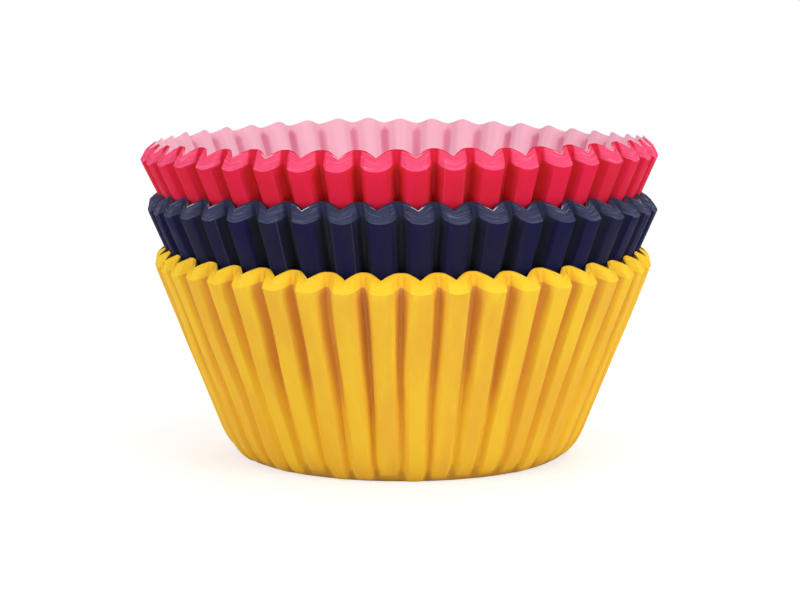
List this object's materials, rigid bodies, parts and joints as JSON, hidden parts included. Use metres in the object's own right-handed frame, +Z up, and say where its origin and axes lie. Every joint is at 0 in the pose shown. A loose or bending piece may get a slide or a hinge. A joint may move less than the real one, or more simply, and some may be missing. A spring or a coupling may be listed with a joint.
{
  "type": "cupcake liner stack",
  "caption": "Stack of nested pleated paper baking cups in three colours, with flared walls, wavy rims and an open top cup.",
  "frame": {"origin": "middle of the lowest base, on the surface that the stack stands on", "axes": "+Z up along the stack's axis, -Y is the front, where an inward fold faces the viewer"},
  "size_m": [0.081, 0.081, 0.0508],
  "materials": {
    "yellow_paper": "smooth matte printed paper",
    "yellow_edges": "cut paper edges, matte",
    "navy_paper": "smooth matte printed paper",
    "navy_edges": "cut paper edges, matte with pale streaks",
    "pink_paper": "smooth matte printed paper",
    "pink_edges": "cut paper edges, matte",
    "pink_inside": "unprinted matte paper with the colour showing through"
  },
  "bodies": {
    "root": {"yellow_outer_liner": "yellow_paper", "yellow_nested_liners": "yellow_edges", "yellow_inner_liner": "yellow_edges", "navy_outer_liner": "navy_paper", "navy_nested_liners": "navy_edges", "navy_inner_liner": "navy_edges", "pink_outer_liner": "pink_paper", "pink_nested_liners": "pink_edges", "pink_inner_liner": "pink_inside"}
  },
  "joints": []
}
